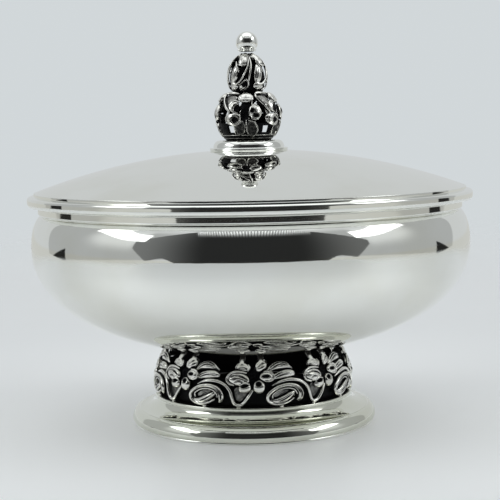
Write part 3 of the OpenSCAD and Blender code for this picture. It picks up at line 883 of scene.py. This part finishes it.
finialFlower = {
    "pitch": 0.12, "low": (-8.7, -2.0, 82.6), "high": (5.0, 0.5, 98.2),
    "petals": [
        ((-0.75, -0.8, 95.7), (2.9, 0.85, 1.65), 0),
        ((-4.7, -0.8, 92.9), (1.75, 0.85, 1.9), 25),
        ((-5.3, -0.85, 89.1), (2.75, 0.95, 1.85), -8),
        ((2.2, -0.85, 91.3), (2.0, 0.95, 2.5), 12),
        ((-2.8, -1.05, 86.3), (1.95, 0.6, 2.6), -12),
        ((1.2, -1.05, 86.0), (2.1, 0.6, 2.75), 10),
        ((-0.9, -1.4, 92.6), (1.9, 0.45, 3.2), 0),
        ((-1.2, -1.4, 89.2), (2.3, 0.45, 2.2), 0),
    ],
    "dimples": [
        ((-3.9, -0.25, 92.4), (1.1, 0.75, 1.35), -25),
        ((-4.3, -0.15, 88.9), (1.35, 0.7, 1.0), 0),
        ((1.3, -0.2, 91.6), (0.6, 0.55, 0.7), 0),
        ((2.35, -0.15, 90.25), (1.05, 0.6, 0.65), 0),
        ((-2.8, -0.3, 86.2), (1.4, 0.4, 1.9), -12),
        ((1.2, -0.3, 86.0), (1.6, 0.4, 2.1), 10),
    ],
    "grooves": [
        [(-0.75, 0.0, 97.2, 0.12), (-0.72, 0.12, 96.2, 0.16), (-0.7, 0.05, 95.1, 0.12)],
        [(0.1, -0.1, 96.9, 0.1), (0.2, 0.05, 96.2, 0.14), (1.2, 0.0, 96.3, 0.1)],
        [(-6.4, -0.2, 90.4, 0.1), (-7.1, -0.25, 89.2, 0.13), (-6.6, -0.2, 88.0, 0.1)],
        [(2.9, -0.05, 92.8, 0.1), (3.0, 0.05, 92.0, 0.14), (2.6, 0.05, 91.5, 0.1)],
    ],
    "cup": ((-1.25, -0.4, 90.5), (1.3, 1.2, 2.1)),
    "rims": [
        [(-3.3, -0.4, 95.9, 0.2), (-3.1, -0.3, 94.9, 0.24), (-0.7, -0.2, 94.8, 0.26),
         (1.5, -0.3, 94.9, 0.24), (1.7, -0.4, 95.9, 0.2)],
        [(1.4, -0.6, 94.6, 0.14), (1.25, -0.65, 93.2, 0.12)],
        [(-3.0, -0.45, 94.1, 0.2), (-4.4, -0.3, 94.5, 0.28), (-5.9, -0.35, 93.8, 0.34),
         (-6.1, -0.4, 92.5, 0.3), (-5.0, -0.45, 91.5, 0.26), (-3.7, -0.6, 91.0, 0.18)],
        [(-2.5, -0.6, 89.4, 0.18), (-2.8, -0.5, 90.3, 0.22), (-4.2, -0.35, 90.6, 0.26),
         (-6.0, -0.4, 90.2, 0.24), (-7.4, -0.55, 89.2, 0.2)],
        [(-2.5, -0.6, 89.4, 0.16), (-2.6, -0.6, 88.3, 0.17), (-3.4, -0.5, 87.5, 0.2),
         (-5.0, -0.45, 87.4, 0.22), (-6.8, -0.55, 87.9, 0.18)],
        [(0.4, -0.6, 90.1, 0.16), (0.4, -0.55, 91.2, 0.18), (1.1, -0.45, 92.6, 0.22),
         (2.2, -0.4, 93.4, 0.26), (3.4, -0.45, 92.6, 0.26), (4.0, -0.5, 91.2, 0.24),
         (3.6, -0.5, 89.9, 0.22), (2.4, -0.5, 89.0, 0.22), (1.1, -0.55, 89.2, 0.18)],
        [(1.9, -0.15, 90.95, 0.14), (2.6, -0.05, 90.95, 0.18), (3.3, -0.15, 91.1, 0.14)],
        [(-2.0, -0.75, 88.5, 0.13), (-3.3, -0.65, 87.9, 0.16), (-4.4, -0.65, 87.0, 0.18),
         (-4.75, -0.65, 85.7, 0.18), (-4.8, -0.75, 84.5, 0.16)],
        [(0.1, -0.7, 88.6, 0.16), (1.5, -0.6, 88.4, 0.18), (2.6, -0.6, 87.2, 0.19),
         (3.1, -0.6, 85.8, 0.19), (2.6, -0.65, 84.5, 0.18), (1.8, -0.75, 83.7, 0.18)],
        [(-0.66, -0.6, 88.7, 0.15), (-0.68, -0.55, 87.9, 0.17), (-0.7, -0.6, 87.2, 0.13)],
        [(-0.6, -0.6, 86.0, 0.13), (-0.55, -0.6, 85.4, 0.15)],
        [(-1.5, -0.85, 92.6, 0.12), (-2.4, -0.75, 91.7, 0.13), (-2.6, -0.7, 90.4, 0.14),
         (-2.6, -0.75, 88.9, 0.13)],
    ],
    "stains": [
        ((-0.85, -0.9, 93.2), (1.9, 0.55, 1.75), 0, 1),
        ((-1.25, -1.2, 90.5), (1.35, 1.0, 2.2), 0, 1),
        ((-3.8, -0.75, 92.4), (1.0, 0.5, 1.25), -25, 1),
        ((-4.3, -0.75, 88.9), (1.25, 0.5, 0.9), 0, 1),
        ((1.25, -0.7, 91.55), (0.55, 0.45, 0.65), 0, 1),
        ((2.3, -0.7, 90.25), (0.95, 0.45, 0.55), 0, 1),
        ((-2.8, -0.75, 86.3), (1.75, 0.4, 2.3), -12, 0.42),
        ((1.2, -0.75, 86.0), (1.85, 0.4, 2.4), 10, 0.42),
    ],
}
castRing("finialFlowers", finialFlower, bulb, "finial_flower")

finialCurlLeaf = {
    "pitch": 0.12, "low": (-16.6, -2.3, 87.0), "high": (2.8, 0.3, 98.4),
    "slabs": [((-6.9, -1.7, 97.2), (9.3, 0.25, 0.9))],        # top of the bulb, under the bud
    "petals": [((-7.0, -1.35, 95.2), (3.5, 0.5, 2.3), -22)],
    "bodies": [
        ([(-7.0, -1.35, 93.6, 1.2), (-6.3, -1.4, 90.6, 0.8), (-6.1, -1.4, 88.0, 0.6)], 0.5),
    ],
    "grooves": [
        [(-9.0, -0.8, 95.8, 0.1), (-7.2, -0.75, 95.6, 0.15), (-5.0, -0.8, 94.6, 0.1)],
        [(-8.4, -0.8, 94.8, 0.1), (-7.0, -0.75, 94.6, 0.14), (-5.6, -0.8, 93.6, 0.1)],
        [(-8.6, -0.8, 96.6, 0.1), (-6.8, -0.8, 96.5, 0.13), (-4.8, -0.85, 95.8, 0.1)],
    ],
    "rims": [
        [(-4.4, -0.7, 97.0, 0.2), (-7.0, -0.5, 97.1, 0.26), (-9.6, -0.45, 97.0, 0.3),
         (-10.6, -0.4, 96.4, 0.34), (-9.9, -0.3, 95.2, 0.38), (-8.6, -0.25, 93.7, 0.38),
         (-7.4, -0.35, 92.4, 0.34), (-6.2, -0.6, 91.4, 0.28)],
    ],
    "stains": [
        ((-5.9, -1.4, 89.0), (1.3, 0.9, 2.3), 0, 1),
        ((-3.9, -1.0, 95.2), (0.8, 0.6, 1.6), 0, 1),
        ((-6.9, -1.1, 95.0), (3.2, 0.55, 2.0), -22, 0.34),
    ],
}
castRing("finialCurlLeaves", finialCurlLeaf, bulb, "finial_curl_leaf")

finialBudLeaf = {
    "pitch": 0.11, "low": (-7.2, -2.4, 96.0), "high": (6.0, 0.4, 108.8),
    "slabs": [((-0.55, -1.95, 102.4), (5.5, 0.25, 6.2)),      # the leaves meet below their edges
              ((-0.55, -1.6, 97.2), (5.5, 0.4, 1.1))],
    "petals": [
        ((-4.5, -0.75, 102.4), (1.5, 0.75, 3.3), -12),
        ((-1.9, -0.75, 106.3), (2.3, 0.75, 1.9), 0),
        ((-2.2, -1.4, 102.6), (3.0, 0.5, 4.4), 0),
        ((-2.2, -1.1, 107.9), (3.7, 0.8, 1.4), 0),
        ((-4.9, -0.75, 98.5), (1.5, 0.75, 1.4), 0),
        ((-1.8, -1.4, 98.4), (2.4, 0.5, 2.0), 0),
    ],
    "bodies": [([(-5.4, -0.7, 98.9, 0.5), (-5.55, -0.55, 99.7, 0.4), (-5.5, -0.5, 100.4, 0.22)], 1.0)],
    "dimples": [((-2.0, -0.2, 102.0), (1.5, 0.9, 2.3), -10)],
    "grooves": [
        [(-5.4, -0.1, 101.2, 0.12), (-4.9, 0.05, 103.0, 0.2), (-4.0, 0.0, 105.4, 0.14),
         (-3.0, -0.1, 107.6, 0.1)],
        [(-4.4, -0.1, 100.8, 0.1), (-4.1, 0.0, 102.2, 0.16), (-3.6, -0.05, 103.6, 0.1)],
        [(-2.9, -0.1, 107.4, 0.1), (-2.3, 0.05, 106.2, 0.16), (-2.1, 0.0, 105.2, 0.12)],
        [(-1.2, -0.1, 107.4, 0.1), (-0.9, 0.05, 106.4, 0.15), (-0.9, 0.0, 105.4, 0.12)],
        [(0.85, -0.3, 100.6, 0.1), (0.8, -0.2, 104.0, 0.16), (0.8, -0.2, 107.0, 0.14)],
    ],
    "rims": [
        [(-5.5, -0.45, 99.4, 0.24), (-3.9, -0.35, 99.2, 0.27), (-2.6, -0.3, 99.8, 0.27),
         (-1.73, -0.25, 100.8, 0.27), (-1.08, -0.25, 102.0, 0.27), (-0.43, -0.2, 103.2, 0.26),
         (0.11, -0.2, 104.4, 0.26), (0.42, -0.25, 105.8, 0.26), (0.35, -0.4, 107.4, 0.22)],
        [(0.25, -0.7, 99.8, 0.26), (0.55, -0.5, 101.2, 0.3), (0.95, -0.4, 103.0, 0.33),
         (1.3, -0.35, 105.0, 0.34), (1.25, -0.4, 106.6, 0.3), (0.9, -0.5, 107.8, 0.24)],
        [(-4.7, -0.25, 105.8, 0.2), (-3.9, -0.2, 104.5, 0.26), (-3.2, -0.3, 103.5, 0.25),
         (-2.8, -0.4, 102.7, 0.16)],
        [(-3.3, -0.7, 98.9, 0.17), (-2.2, -0.55, 99.3, 0.19), (-1.1, -0.45, 100.1, 0.22),
         (-0.4, -0.4, 100.4, 0.24), (0.2, -0.5, 99.9, 0.24), (0.25, -0.6, 98.8, 0.22),
         (-0.3, -0.75, 97.9, 0.18)],
        [(-2.7, -0.75, 97.3, 0.15), (-1.6, -0.7, 97.8, 0.17), (-0.65, -0.7, 98.3, 0.17)],
        [(-3.2, -0.3, 104.9, 0.2), (-1.8, -0.15, 104.7, 0.28), (-0.4, -0.25, 104.9, 0.22)],
    ],
    "stains": [
        ((-2.0, -0.95, 102.1), (1.6, 0.75, 2.3), -10, 1),
        ((0.05, -0.9, 102.2), (0.4, 0.6, 2.0), -12, 1),
        ((-1.0, -1.0, 98.9), (1.1, 0.5, 0.8), 15, 1),
    ],
}
castRing("finialBudLeaves", finialBudLeaf, bud, "finial_bud_leaf")

gallery = {"windowTurns": (36.5, 143.5, 216.5, 323.5), "windowHalf": 7.4, "windowLow": 85.2,
           "windowHigh": 87.2, "low": 83.0, "top": 88.0, "outerDepth": 0.9, "wall": 0.5,
           "wires": (83.6, 84.5),
           "wireHeight": 0.28, "wireDepth": 0.14}


def galleryRing(size):
    # a pierced ring round the bottom of the bulb: a grid of cells with the windows left out
    step = 1.5
    turns = np.arange(0, 360, step)
    heights = np.concatenate([np.linspace(size["low"], size["windowLow"], 17),
                              np.linspace(size["windowLow"], size["windowHigh"], 5)[1:],
                              np.linspace(size["windowHigh"], size["top"], 4)[1:]])
    count, rows = len(turns), len(heights)

    def isOpen(column, row):
        if not 0 <= row < rows - 1:
            return True
        middle = (heights[row] + heights[row + 1]) / 2
        turn = turns[column % count] + step / 2
        side = min(abs(turn - window) for window in size["windowTurns"])
        return size["windowLow"] < middle < size["windowHigh"] and side < size["windowHalf"]

    points, recess = [], []
    for depth in (size["outerDepth"], size["outerDepth"] + size["wall"]):
        for turn in turns:
            for z in heights:
                r = math.sqrt((bulb["bulge"] - depth) ** 2 - (z - bulb["middle"]) ** 2)
                near = min(abs(z - height) for height in size["wires"]) / size["wireHeight"]
                raised = depth == size["outerDepth"] and near < 1
                if raised:                       # two fine wires run round the foot of the ring
                    r += size["wireDepth"] * math.sqrt(1 - near ** 2)
                a = math.radians(turn)
                points.append((r * math.sin(a), -r * math.cos(a), z))
                recess.append(0.22 + 0.5 * near if raised else 0.9)
    inner = count * rows
    faces = []
    for column in range(count):
        nextColumn = (column + 1) % count
        for row in range(rows - 1):
            if isOpen(column, row):
                continue
            a, b = column * rows + row, nextColumn * rows + row
            faces.append((a, b, b + 1, a + 1))
            faces.append((inner + a + 1, inner + b + 1, inner + b, inner + a))
            if isOpen(column, row - 1):
                faces.append((b, a, inner + a, inner + b))
            if isOpen(column, row + 1):
                faces.append((a + 1, b + 1, inner + b + 1, inner + a + 1))
            if isOpen(column - 1, row):
                faces.append((a, a + 1, inner + a + 1, inner + a))
            if isOpen(column + 1, row):
                faces.append((b + 1, b, inner + b, inner + b + 1))
    piece = meshObject("finialGallery", points, faces, blackenedSilver, recess)
    work = bmesh.new()
    work.from_mesh(piece.data)
    bmesh.ops.delete(work, geom=[v for v in work.verts if not v.link_faces], context="VERTS")
    work.to_mesh(piece.data)
    work.free()
    piece.data.set_sharp_from_angle(angle=math.radians(50))
    return place(piece, "lid", "cast_silver", "finial_gallery")


galleryRing(gallery)

collar = {"core": 2.25, "low": 108.8, "high": 109.7}
beads = {"beads": 14, "beadRing": 2.25 * mm, "beadRadius": 0.45 * mm, "beadHeight": 109.25 * mm}


def beadTree(settings):
    # a ring of beads round the collar that comes in
    tree, sockets, given = geometryTree("ringOfBeads", settings)
    circle = chain(tree, "GeometryNodeMeshCircle", {
        "Vertices": given["beads"], "Radius": given["beadRing"]})
    lifted = chain(tree, "GeometryNodeTransform", {
        "Geometry": circle,
        "Translation": chain(tree, "ShaderNodeCombineXYZ", {2: given["beadHeight"]})})
    bead = chain(tree, "GeometryNodeMeshIcoSphere", {
        "Subdivisions": 3, "Radius": given["beadRadius"]})
    copies = chain(tree, "GeometryNodeInstanceOnPoints", {"Points": lifted, "Instance": bead})
    joined = addNode(tree, "GeometryNodeJoinGeometry")
    wire(copies, joined, 0)
    wire(given["Geometry"], joined, 0)
    closeTree(tree, Value(tree, joined.outputs[0]), given["silver"])
    return tree, sockets


core = turned("collarCore", [(0, collar["low"]), (collar["core"], collar["low"]),
                             (collar["core"], collar["high"]), (0, collar["high"])], wireSilver, 96)
finialCollar = grown("finialCollar", *beadTree(beads), beads, wireSilver, core.data)
bpy.data.objects.remove(core)
place(finialCollar, "lid", "polished_silver", "finial_collar")
print("finial castings done")

studio = {
    "backdrop": (0.640, 0.680, 0.698),
    "tent": 0.63, "overhead": 1.25, "sideWall": 0.44, "glow": 0.76, "table": 0.60,
    "front": 0.022, "frontLeft": 0.19, "frontRight": 0.14, "slats": 1.1, "slatGaps": 0.25,
    "shade": 0.44, "softbox": 3.2, "doorway": 0.02,
    "tint": (0.965, 1.0, 1.01), "tableTint": (0.985, 1.0, 0.955),
    "slatStep": 0.0243,
}


def studioWorld(settings):
    # brightness by direction: azimuth from the front to the right and elevation, in degrees
    world = bpy.data.worlds.new("studio")
    bpy.context.scene.world = world
    world.use_nodes = True
    tree = world.node_tree
    tree.nodes.clear()
    x, y, z = axesOf(Value(tree, addNode(tree, "ShaderNodeTexCoord").outputs["Generated"]))
    toDegrees = 180 / math.pi
    azimuth = x.math("ARCTAN2", y * -1.0) * toDegrees
    side = azimuth.math("ABSOLUTE")
    elevation = z.math("ARCSINE") * toDegrees

    def between(value, low, high, soft):
        return (smoothRange(value, low - soft, low + soft)
                * smoothRange(value, high + soft, high - soft))

    def above(low, soft=0.7):
        return smoothRange(elevation - low, -soft, soft)

    def under(high, soft=0.7):
        return smoothRange(elevation - high, soft, -soft)

    # the room in front of the tent: a dark opening narrower at the top, with slats across it
    openingLow = smoothRange(side, 36, 45, -5.3, 0.9) - smoothRange(side, 45, 54, 0, 3)
    rightDrop = smoothRange(azimuth, 8, 30, 0, 5)
    openingTop = ((side - 45) * -1.2 + 43.0 - rightDrop).math("MINIMUM", 58.0)
    cornerCut = ((elevation - 12) * 0.55).math("MINIMUM", 0.0)
    opening = (smoothRange(side - cornerCut, 62.8, 61.6) * above(openingLow, 0.5)
               * under(openingTop))
    roomLevel = smoothRange(azimuth, -22, -62, settings["front"], settings["frontLeft"])
    roomLevel = smoothRange(azimuth, 24, 60, roomLevel, settings["frontRight"])
    # upright slats: about equal steps across a flat wall
    across = x / y * (x * x + y * y).math("POWER", 0.425)
    wave = (across * (2 * math.pi / settings["slatStep"])).math("SINE")
    slats = smoothRange(wave, -0.8, 0.8, settings["slatGaps"], settings["slats"])
    lit = between(across * 100, -57, 48, 2) * smoothRange(elevation, 33, 57)
    roomLevel = smoothRange(lit, 0, 1, roomLevel, slats)
    shade = between(side, -1, 48, 5) * between(elevation, 56, 66, 2)

    # a softbox at each side, which lights the wall below it
    lampLow = smoothRange(side, 66, 100, 23.5, 33.5)
    lampHigh = smoothRange(side, 62, 92, 36, 48)
    softbox = (smoothRange(side, 100, 97) * smoothRange(side, 56, 58)
               * above(lampLow, 2.5) * under(lampHigh, 3))
    glow = smoothRange(side, 104, 80) * smoothRange(side, 56, 66) * smoothRange(elevation, 0, 24)
    wallLevel = smoothRange(glow, 0, 1, settings["sideWall"], settings["glow"])
    wallLow = ((side - 60) * -0.095 + -1.9).math("MAXIMUM", (side - 110) * 0.2 + -6.7)
    wall = (smoothRange(side - elevation * 0.27, 126.7, 125.3) * above(wallLow, 0.5)
            * smoothRange(elevation, 52, 36))
    doorway = (smoothRange(side, 107.8, 108.8) * above(wallLow, 0.5)
               * under((side - 108.5) * -0.55 + 2.3))

    below = smoothRange(elevation, 0, -3)
    level = smoothRange(elevation, 50, 62, settings["tent"], settings["overhead"])
    for share, brightness in (
            (below, settings["table"]), (wall, wallLevel), (shade, settings["shade"]),
            (opening, roomLevel), (doorway, settings["doorway"]), (softbox, settings["softbox"])):
        level = smoothRange(share, 0, 1, level, brightness)
    grey = addNode(tree, "ShaderNodeCombineColor")
    for socket in range(3):
        tint = smoothRange(below, 0, 1, settings["tint"][socket], settings["tableTint"][socket])
        wire(level * tint, grey, socket)
    seen = Value(tree, addNode(tree, "ShaderNodeLightPath").outputs["Is Camera Ray"])
    background = addNode(tree, "ShaderNodeBackground")
    wire(mixColour(seen, Value(tree, grey.outputs[0]), settings["backdrop"]), background, "Color")
    output = addNode(tree, "ShaderNodeOutputWorld")
    tree.links.new(background.outputs[0], output.inputs[0])


studioWorld(studio)


floor = {"radius": 1000, "rings": 24, "segments": 96, "roughness": 0.4}


def studioFloor(size):
    rings, segments = size["rings"], size["segments"]
    points, faces = [(0, 0, 0)], []
    for i in range(rings):
        r = size["radius"] * ((i + 1) / rings) ** 1.5
        for k in range(segments):
            a = 2 * math.pi * k / segments
            points.append((r * math.cos(a), r * math.sin(a), 0))
    for k in range(segments):
        faces.append((0, 1 + k, 1 + (k + 1) % segments))
        for i in range(rings - 1):
            a, b = 1 + i * segments + k, 1 + i * segments + (k + 1) % segments
            faces.append((a, a + segments, b + segments, b))
    material, shader, coords = newMaterial("studioFloor")
    shader.inputs["Metallic"].default_value = 0
    shader.inputs["Roughness"].default_value = size["roughness"]
    wire(mixColour(noise(coords, 14, 2), (0.82, 0.83, 0.84), (0.84, 0.85, 0.86)),
         shader, "Base Color")
    # it ends sharply in front and fades out elsewhere, further off behind
    x, y, _ = axesOf(coords)
    distance = (x * x + y * y).math("SQRT") + 0.0001
    behind = y / distance
    squeezedX = x * smoothRange(behind, 0.5, 0.85, 1.0, 2.2)
    reach = (squeezedX * squeezedX + y * y).math("SQRT")
    fadeStart = smoothRange(behind, -0.5, -0.75, 0.30, 0.785)
    fadeEnd = smoothRange(behind, -0.75, -0.5, 0.795, 0.7)
    fadeEnd = smoothRange(behind, 0.5, 0.85, fadeEnd, 0.95)
    wire(smoothRange(reach, fadeEnd, fadeStart), shader, "Alpha")
    # painted light: the floor glows faintly near the object, more in front, to lift the shade the bowl
    # casts there
    shader.inputs["Emission Color"].default_value = (0.98, 1.0, 0.97, 1)
    paintedGlow = smoothRange(y, 0.05, -0.02, 0.06, 0.12)
    wire(smoothRange(distance, 0.2, 0.05, 0, paintedGlow), shader, "Emission Strength")
    meshObject("studioFloorDisc", points, faces, material)


studioFloor(floor)

camera = bpy.data.objects.new("camera", bpy.data.cameras.new("camera"))
bpy.context.scene.collection.objects.link(camera)
bpy.context.scene.camera = camera
view = {"place": (-0.25, -400, 89), "pitch": 0.096, "roll": -0.0195, "focal": 2.71}
camera.data.lens = 36 * view["focal"]
camera.data.sensor_width = 36
look = Vector((0, math.cos(view["pitch"]), -math.sin(view["pitch"])))
up = Vector((0, math.sin(view["pitch"]), math.cos(view["pitch"])))
axes = Matrix((Vector((1, 0, 0)), up, -look)).transposed().to_4x4()
camera.matrix_world = (Matrix.Translation(Vector(view["place"]) * mm) @ axes
                       @ Matrix.Rotation(view["roll"], 4, "Z"))
camera.data.clip_start = 0.01
bpy.context.scene.view_settings.view_transform = "Standard"
